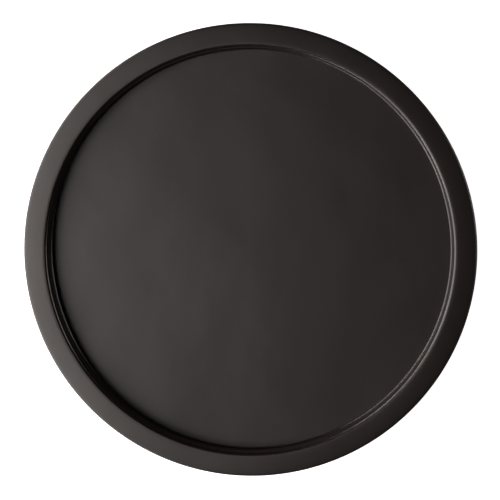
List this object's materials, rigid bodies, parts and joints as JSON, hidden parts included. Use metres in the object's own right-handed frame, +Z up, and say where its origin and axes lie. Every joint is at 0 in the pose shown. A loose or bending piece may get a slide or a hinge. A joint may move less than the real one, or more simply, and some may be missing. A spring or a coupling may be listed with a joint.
{
  "type": "tart pan",
  "caption": "Flat round tart pan pressed from coated steel sheet, with a low wall, a wide rim and a wired rolled edge.",
  "frame": {"origin": "centre of the base, on the surface that the pan stands on", "axes": "+Z up along the pan's own axis, +X to the right and +Y to the back as it is seen from the front"},
  "size_m": [0.32, 0.32, 0.016],
  "materials": {
    "sheet_steel": "cold-rolled steel sheet with a thin dark satin lacquer on its underside",
    "nonstick_coating": "satin charcoal non-stick coating with a fine even grain",
    "steel_wire": "drawn steel wire, dull grey"
  },
  "bodies": {
    "root": {"pan_body": "sheet_steel", "nonstick_coating": "nonstick_coating", "rim_wire": "steel_wire"}
  },
  "joints": []
}
